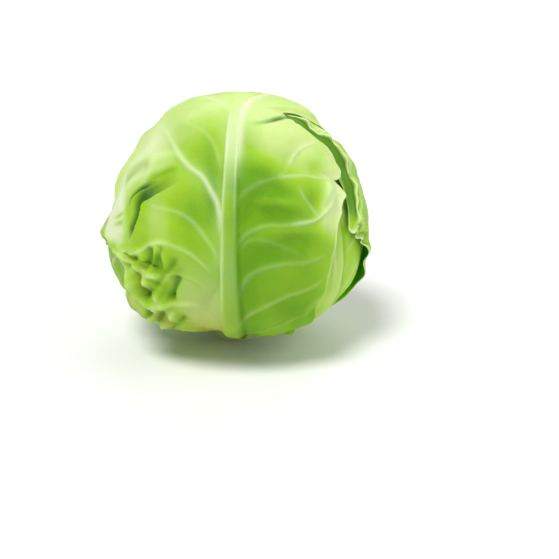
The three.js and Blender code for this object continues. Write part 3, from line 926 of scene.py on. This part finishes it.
def ruffle_margin(place):
    """Short waves, a crease with painted shade, and a rolled bank along the free margin, with a pale edge.
    """
    ruffled = (place.hand < 0) * band(place.climb, -20, 15, 44, 52)
    near = ruffled * (1 - smooth(place.margin_mm, 0, 13))
    waves = 1.2 + 1.3 * wander(place.along + 1.2 * place.sideways, 71, 13)
    place.lift = place.lift * (1 - 0.6 * near) + near * waves
    crease_line = 5 + 1.5 * wander(place.along + 1.2 * place.sideways, 72, 24)
    crease = ruffled * gaussian((place.margin_mm - crease_line) / 1.5)
    rolled = ruffled * gaussian((place.margin_mm - 9.5) / 3)
    place.height += 1.2 * rolled - 1.5 * crease
    place.shade(0.35 * crease)
    place.tone += 0.45 * ruffled * gaussian(place.margin_mm / 14)
    place.whiten(0.35 * ruffled * gaussian(place.margin_mm / 1.6))


def sculpt_back(leaf, place):
    """A deep green shadow is painted on the blade beside the sharp fold, which runs in under the front
    leaf.
    """
    sculpt_plain(leaf, place)
    ruffle_margin(place)
    distance, along, _ = Path(leaf, RUFFLE).measure(place.spots)
    ends = 1 - smooth(along, 0.9, 1.01)
    bank = ends * (1 - smooth(distance, -1.1, 0.7)) * gaussian(distance / 9)
    second = ends * gaussian((distance + 4.2 + wander(90 * along, 74, 22)) / 1.2)
    rise = bank * (1.5 + 0.9 * wander(90 * along, 73, 12)) - 0.9 * second
    uncovered = smooth(FRONT_LEAF.outside_by(place.directions), 0.8, 3)
    place.slide += (uncovered * rise)[:, None] * place.directions
    # Painted shadow along the fold, painted light on its bank, and painted shade in the crease beside it.
    painted_gap_shade = ends * band(distance, -0.7, 0.5, 9, 14)
    place.tone = (place.tone + 0.5 * bank - 0.35 * second) * (1 - painted_gap_shade) - 0.3 * painted_gap_shade
    place.vein *= 1 - painted_gap_shade
    place.whiten(0.5 * ends * gaussian((distance + 1.2) / 0.9))
    place.shade(0.5 * painted_gap_shade + 0.3 * ends * gaussian(distance - 1))


blade = grow_blade(LEAVES[5], 230, 190, sculpt_back, outer_skin)

# The front wrapper leaf, the outermost. Its veins and folds are placed one by one, as (climb,
# sideways), and it is pleated at the upper left, creased at the crown and crumpled at the lower
# left. For each vein: its height and half width in mm, how pale it is from 0 to 1, and its line.
FRONT_VEINS = [
    (0.5, 1.5, 0.42, [
        (42, -1), (52, -1), (60, 0), (67, 0), (72, -1), (77, -4), (81, -7), (86, -10), (96, -15),
    ]),
    (0.3, 1.3, 0.15, [(38, -2), (47, -4), (54, -6), (58, -9), (61, -12), (64, -16), (67, -20), (74, -28)]),
    (0.8, 1.9, 0.72, [
        (12, -2), (18, -3), (24, -3), (30, -4), (35, -7), (41, -10), (46, -16), (50, -19), (54, -21),
        (59, -23), (64, -25), (70, -28), (78, -31), (90, -36),
    ]),
    (0.45, 1.3, 0.27, [
        (4, -3), (8, -4), (13, -6), (18, -10), (22, -13), (26, -18), (28, -23), (30, -30), (34, -40),
    ]),
    (0.6, 1.3, 0.3, [
        (-6, -3), (0, -6), (4, -8), (7, -12), (10, -15), (12, -20), (14, -26), (14, -31), (12, -36),
        (8, -42), (5, -47), (4, -53), (7, -59),
    ]),
    (0.6, 1.2, 0.24, [
        (-13, -4), (-6, -8), (-2, -13), (0, -18), (0, -25), (-4, -33), (-4, -40), (-2, -45), (0, -52),
        (5, -58),
    ]),
    (0.5, 1.2, 0.35, [(-26, -4), (-17, -9), (-13, -14), (-14, -20), (-18, -27), (-25, -35), (-33, -42)]),
    (0.8, 1.5, 0.35, [(-44, -3), (-34, -9), (-30, -18), (-33, -28), (-40, -36)]),
    (0.3, 1.3, 0.25, [(62, 3), (65, 5), (70, 10), (74, 15), (76, 19)]),
    (0.4, 1.3, 0.13, [
        (28, 2), (32, 4), (37, 9), (40, 14), (43, 19), (46, 22), (54, 25), (59, 27), (64, 31), (71, 36),
    ]),
    (0.3, 1.2, 0.45, [(49, 23), (54, 25), (59, 27), (64, 31), (71, 36)]),
    (0.4, 1.2, 0.42, [(42, 18), (44, 21), (45, 26), (48, 32), (49, 38), (52, 44)]),
    (0.5, 1.3, 0.15, [
        (8, 3), (15, 4), (19, 8), (22, 15), (22, 22), (23, 28), (25, 36), (30, 41), (36, 45), (43, 48),
        (49, 51),
    ]),
    (0.5, 1.3, 0.5, [(22, 22), (23, 28), (25, 36), (30, 41), (36, 45), (43, 48), (49, 51)]),
    (0.3, 1.2, 0.3, [(26, 39), (30, 36), (35, 32), (41, 28)]),
    (0.3, 1.2, 0.1, [(10, 4), (16, 8), (16, 14), (14, 20), (11, 26), (8, 32)]),
    (0.5, 1.8, 0.18, [(-12, 3), (-2, 6), (2, 10), (4, 16), (5, 24), (5, 34), (8, 44)]),
    (0.8, 1.4, 0.35, [(-26, 3), (-17, 8), (-13, 18), (-10, 30), (-6, 42)]),
    (0.8, 1.5, 0.35, [(-44, 3), (-34, 9), (-28, 20), (-24, 34)]),
]
# The widest vein parts from the midrib half way up and whitens over the crown.
WIDE_VEIN = [
    (36, 2), (44, 2), (52, 3), (60, 3), (67, 3), (74, 4), (83, 6), (89, 9), (96, 11), (108, 15),
]
# Height in mm, below 0 for a groove, its half widths on the left and on the right of its line, and
# the line.
FRONT_FOLDS = [
    (1.7, 2.2, 4.5, [(79, -56), (65, -47), (57, -37), (56, -30), (54, -24), (49, -19)]),
    (-1.3, 2.6, 2.6, [(63, -60), (62, -49), (59, -41), (54, -33)]),
    (1.2, 2.6, 2.6, [(62, -62), (54, -48), (49, -35), (48, -26), (47, -19)]),
    (-1.0, 2.4, 2.4, [(44, -38), (45, -33), (46, -26), (46, -20)]),
    (1.2, 2.0, 2.0, [(43, -57), (33, -56), (25, -56), (17, -58), (9, -60)]),
    (1.5, 1.5, 1.7, [(12, -22), (14, -29), (13, -34), (10, -40), (7, -43), (4, -48), (4, -53), (7, -59)]),
    (1.6, 1.5, 1.7, [(0, -20), (-4, -32), (-4, -41), (-2, -45), (0, -53), (5, -58)]),
    (-1.2, 1.3, 1.3, [(6, -53), (2, -49), (2, -43)]),
    (-2.0, 1.1, 1.7, [(13, -36), (7, -36), (3, -37), (-3, -39)]),
    (1.5, 1.0, 1.1, [(13, -32), (8, -33), (4, -34), (-3, -35)]),
    (-1.3, 1.0, 1.3, [(13, -28), (8, -30), (2, -32)]),
    (-1.5, 0.9, 2.4, [(9, -20), (3, -24), (-1, -27), (-5, -30), (-10, -34)]),
    (2.0, 2.6, 2.6, [(-20, -49), (-14, -46), (-10, -41), (-7, -33)]),
    (-1.6, 1.1, 1.3, [(-2, -50), (-6, -46), (-8, -42)]),
    (-1.8, 1.3, 2.4, [(-9, -33), (-13, -35), (-17, -39), (-24, -43)]),
    (1.5, 1.3, 1.5, [(-8, -29), (-12, -31), (-20, -34)]),
    (-2.4, 0.9, 2.4, [(0, -20), (-3, -21), (-8, -23), (-16, -26)]),
    (1.5, 1.3, 1.5, [(-14, -14), (-13, -19), (-17, -26), (-21, -32), (-29, -40)]),
    (-1.6, 1.1, 1.5, [(-25, -36), (-33, -39), (-48, -43)]),
    (1.9, 1.3, 1.5, [(-22, -33), (-28, -35), (-38, -39), (-50, -42)]),
    (-1.7, 1.0, 1.5, [(-21, -29), (-29, -32), (-38, -35)]),
    (1.8, 1.3, 1.6, [(-20, -24), (-31, -29), (-42, -33)]),
    (-1.5, 1.1, 1.5, [(-23, -20), (-32, -25), (-45, -30)]),
    (1.2, 2.4, 2.4, [(28, 41), (34, 40), (42, 42), (50, 44)]),
]
# Broad dips and swells: height in mm, how much painted light they get, below 0 painted shade, where, and
# their reach along and across.
FRONT_SWELLS = [
    (-1.5, -0.34, 37, 20, 4, 13),
    (-1.2, -0.25, 36, 35, 7, 3.5),
    (-1.1, -0.25, 43, 13, 3.5, 6),
    (-0.7, -0.15, 54, 9, 3, 7),
    (-1.2, -0.28, 27, 17, 3, 9),
    (-1.3, -0.25, 15, 28, 4, 7),
    (-1.0, -0.2, 10, 17, 4, 10),
    (-0.6, -0.12, 54, 35, 3, 3.5),
    (0, 0.25, 56, 12, 5, 8),
    (1.3, 0.55, 64, 23, 8, 10),
    (0.9, 0.15, 32, 20, 2.5, 10),
    (0.9, 0.15, 20, 22, 2.5, 12),
    (0.5, 0.85, 44, 50, 22, 8),
    (0, 0.5, 26, 43, 9, 8),
    (0, -0.35, 31, -6, 10, 3),
    (0, 0.3, 38, 29, 5, 7),
    (0, 0.15, 48, 28, 6, 8),
    (1.0, 0.3, 66, -42, 9, 12),
    (-0.8, -0.3, 48, -8, 12, 3.5),
    (-0.8, -0.2, 27, -14, 8, 6),
    (0, 0.15, 24, -30, 10, 8),
]
# Two small dimples in the whitish band at the left.
DIMPLES = ((36, -63), (28, -62))
PLEAT = [
    (40, -19), (39, -22), (36, -28), (35, -34), (35, -40), (31, -41), (28, -42), (24, -44), (19, -46),
    (15, -49), (13, -53),
]
SMALL_PLEAT = [(41, -26), (41, -33), (43, -42), (41, -48), (36, -52)]
CROWN_CREASE = [(76, 23), (73.5, 21), (70, 18.5), (66.5, 15), (63.5, 10), (62, 6)]


def add_fold(place, points, height, left_width, right_width):
    """A ridge, painted paler as if lit, or a groove, painted darker with shade."""
    distance, along, _ = Path(FRONT_LEAF, points).measure(place.spots)
    width = np.where(distance < 0, left_width, right_width)
    ends = band(along, -0.01, 0.2, 0.8, 1.01)
    rounded = np.sqrt(distance * distance + 0.25) - 0.5
    fold = ends * np.exp(-((rounded / width) ** 1.5))
    place.height += height * fold
    place.tone += 0.14 * height * fold
    if height < 0:
        place.shade(-0.2 * height * fold)
        place.groove = np.maximum(place.groove, fold)


def add_pleat(place, points, depth, width, lip, overhang, fade_in, fade_out=0.75, softness=1):
    """A fold whose bank, left of its line, leans over the groove on the right, with painted shade in it.
    """
    distance, along, way = Path(FRONT_LEAF, points).measure(place.spots)
    ends = band(along, -0.01, fade_in, fade_out, 1.02)
    wall = smooth(distance, -1.0 * softness, 1.2 * softness)
    groove = ends * wall * (1 - smooth(distance, 0.3 * width, 1.5 * width))
    place.height += lip * ends * (1 - wall) * gaussian(distance / 6) - depth * groove
    leaning = overhang * ends * band(distance, -8, -0.5, -0.5, 2.5)
    place.slide -= (leaning * np.sign(distance))[:, None] * way
    place.shade(ends * band(distance, -0.9 * softness, 0.4 * softness, 0.6 * width, 1.5 * width))
    place.lift += 0.6 * depth * ends * gaussian(distance / 10)


def paint_front_light_and_shade(place):
    """Painted light over the crown and the sides, painted shade low on the right and beside the midrib."""
    right = smooth(place.sideways, 2, 12)
    low = 1 - smooth(place.climb, 20, 55)
    beside = gaussian((place.sideways - 5) / 6) * (1 - smooth(place.climb, 42, 66))
    tone = 0.43 + 0.42 * smooth(place.climb, 36, 76) + 0.1 * smooth(-place.sideways, 10, 60)
    tone = tone - 0.3 * right * low - 0.36 * beside
    place.tone = tone + 0.18 * right * smooth(place.sideways, 30, 48)


def crumple(place):
    """The lower left is drawn together in lumps and creases, whitish below, and sags outwards."""
    crumpled = band(place.climb, -60, -30, 2, 14) * smooth(-place.sideways, 14, 30)
    creased = 0.45 - np.abs(lump_field(61, 26)(place.spots))
    lumps = 1.8 * creased + 0.8 * lump_field(62, 11)(place.spots)
    place.height += crumpled * lumps
    # Painted light on the lumps and painted shade in the creases.
    place.tone += 0.25 * crumpled * creased
    place.lift += 1.8 * crumpled + 5.5 * place.soft_spot(-38, -36, 15, 19)
    place.whiten(0.5 * crumpled * smooth(-place.climb, 16, 34))


def whiten_front(place):
    """The whitish parts: beside the midrib, at the foot, at the upper left and at the right."""
    beside_rib = gaussian((place.sideways + 4) / 3) * band(place.climb, -5, 10, 28, 44)
    at_foot = 0.2 * smooth(-place.climb, -16, 4) + 0.8 * smooth(-place.climb, -4, 22)
    at_foot = at_foot * band(-place.sideways, 2, 5, 14, 28)
    upper_left = place.soft_spot(64, -40, 12, 16)
    place.whiten(0.1 * beside_rib + 0.75 * at_foot + 0.6 * upper_left)
    place.whiten(0.3 * place.soft_spot(44, 49, 18, 6))


def lay_margins(place):
    """The right margin lies close, most of all high up, and the left one stands off evenly."""
    right_margin = smooth(place.sideways, 8, 30) * (1 - smooth(place.margin_mm, 3, 14))
    upper_right = smooth(place.sideways, 10, 15) * smooth(place.climb, 62, 72)
    upper_right = upper_right * (1 - smooth(place.margin_mm, 2, 16))
    place.lift -= 1.2 * right_margin + 0.8 * upper_right
    left_edge = smooth(-place.sideways, 60, 76) * band(place.climb, 2, 12, 52, 70)
    standing_off = 2.0 + 1.6 * gaussian((place.climb - 26) / 18)
    place.lift = place.lift * (1 - left_edge) + left_edge * standing_off


def mark_left_side(place):
    """A whitish band with dimples up the left side, and a plain green flap beyond it."""
    for climb, sideways in DIMPLES:
        dimple = place.soft_spot(climb, sideways, 3.2, 4.5)
        place.groove = np.maximum(place.groove, dimple)
        # Painted shade in the dimples.
        place.tone -= 0.15 * dimple
        place.height = place.height - 0.5 * dimple
    place.whiten(0.85 * band(-place.sideways, 54, 62, 73, 77) * band(place.climb, 4, 14, 62, 80))
    flap = smooth(-place.sideways, 75, 78) * (1 - smooth(place.climb, 45, 60))
    place.tone = place.tone * (1 - flap) + 0.42 * flap


def sculpt_front(leaf, place):
    place.lift *= 1 - 0.8 * smooth(place.climb, 5, 25)
    paint_front_light_and_shade(place)
    for height, half_width, paleness, points in FRONT_VEINS:
        add_vein(place, Path(leaf, points), height, half_width, paleness)
    add_vein(place, Path(leaf, WIDE_VEIN), 0.8, 3.0, 0.85, grown=0.3)
    for height, left_width, right_width, points in FRONT_FOLDS:
        add_fold(place, points, height, left_width, right_width)
    for height, painted_light_and_shade, climb, sideways, reach_up, reach_across in FRONT_SWELLS:
        swell = place.soft_spot(climb, sideways, reach_up, reach_across)
        place.height += height * swell
        # Painted light on the swells and painted shade in the dips.
        place.tone += painted_light_and_shade * swell
    place.height += 0.25 * lump_field(63, 18)(place.spots)
    crumple(place)
    whiten_front(place)
    lay_margins(place)
    mark_left_side(place)
    add_pleat(place, PLEAT, depth=3.2, width=8, lip=0.3, overhang=0.9, fade_in=0.4, fade_out=0.88)
    add_pleat(place, SMALL_PLEAT, depth=2.0, width=3.2, lip=0.4, overhang=0.8, fade_in=0.5)
    add_pleat(
        place, CROWN_CREASE, depth=1.5, width=3, lip=0.5, overhang=0.3,
        fade_in=0.1, fade_out=0.4, softness=2.2,
    )
    # Painted shade: the veins' pale colour is taken out in the grooves and dimples.
    place.vein *= 1 - 0.85 * place.groove


blade = grow_blade(FRONT_LEAF, 258, 190, sculpt_front, outer_skin)
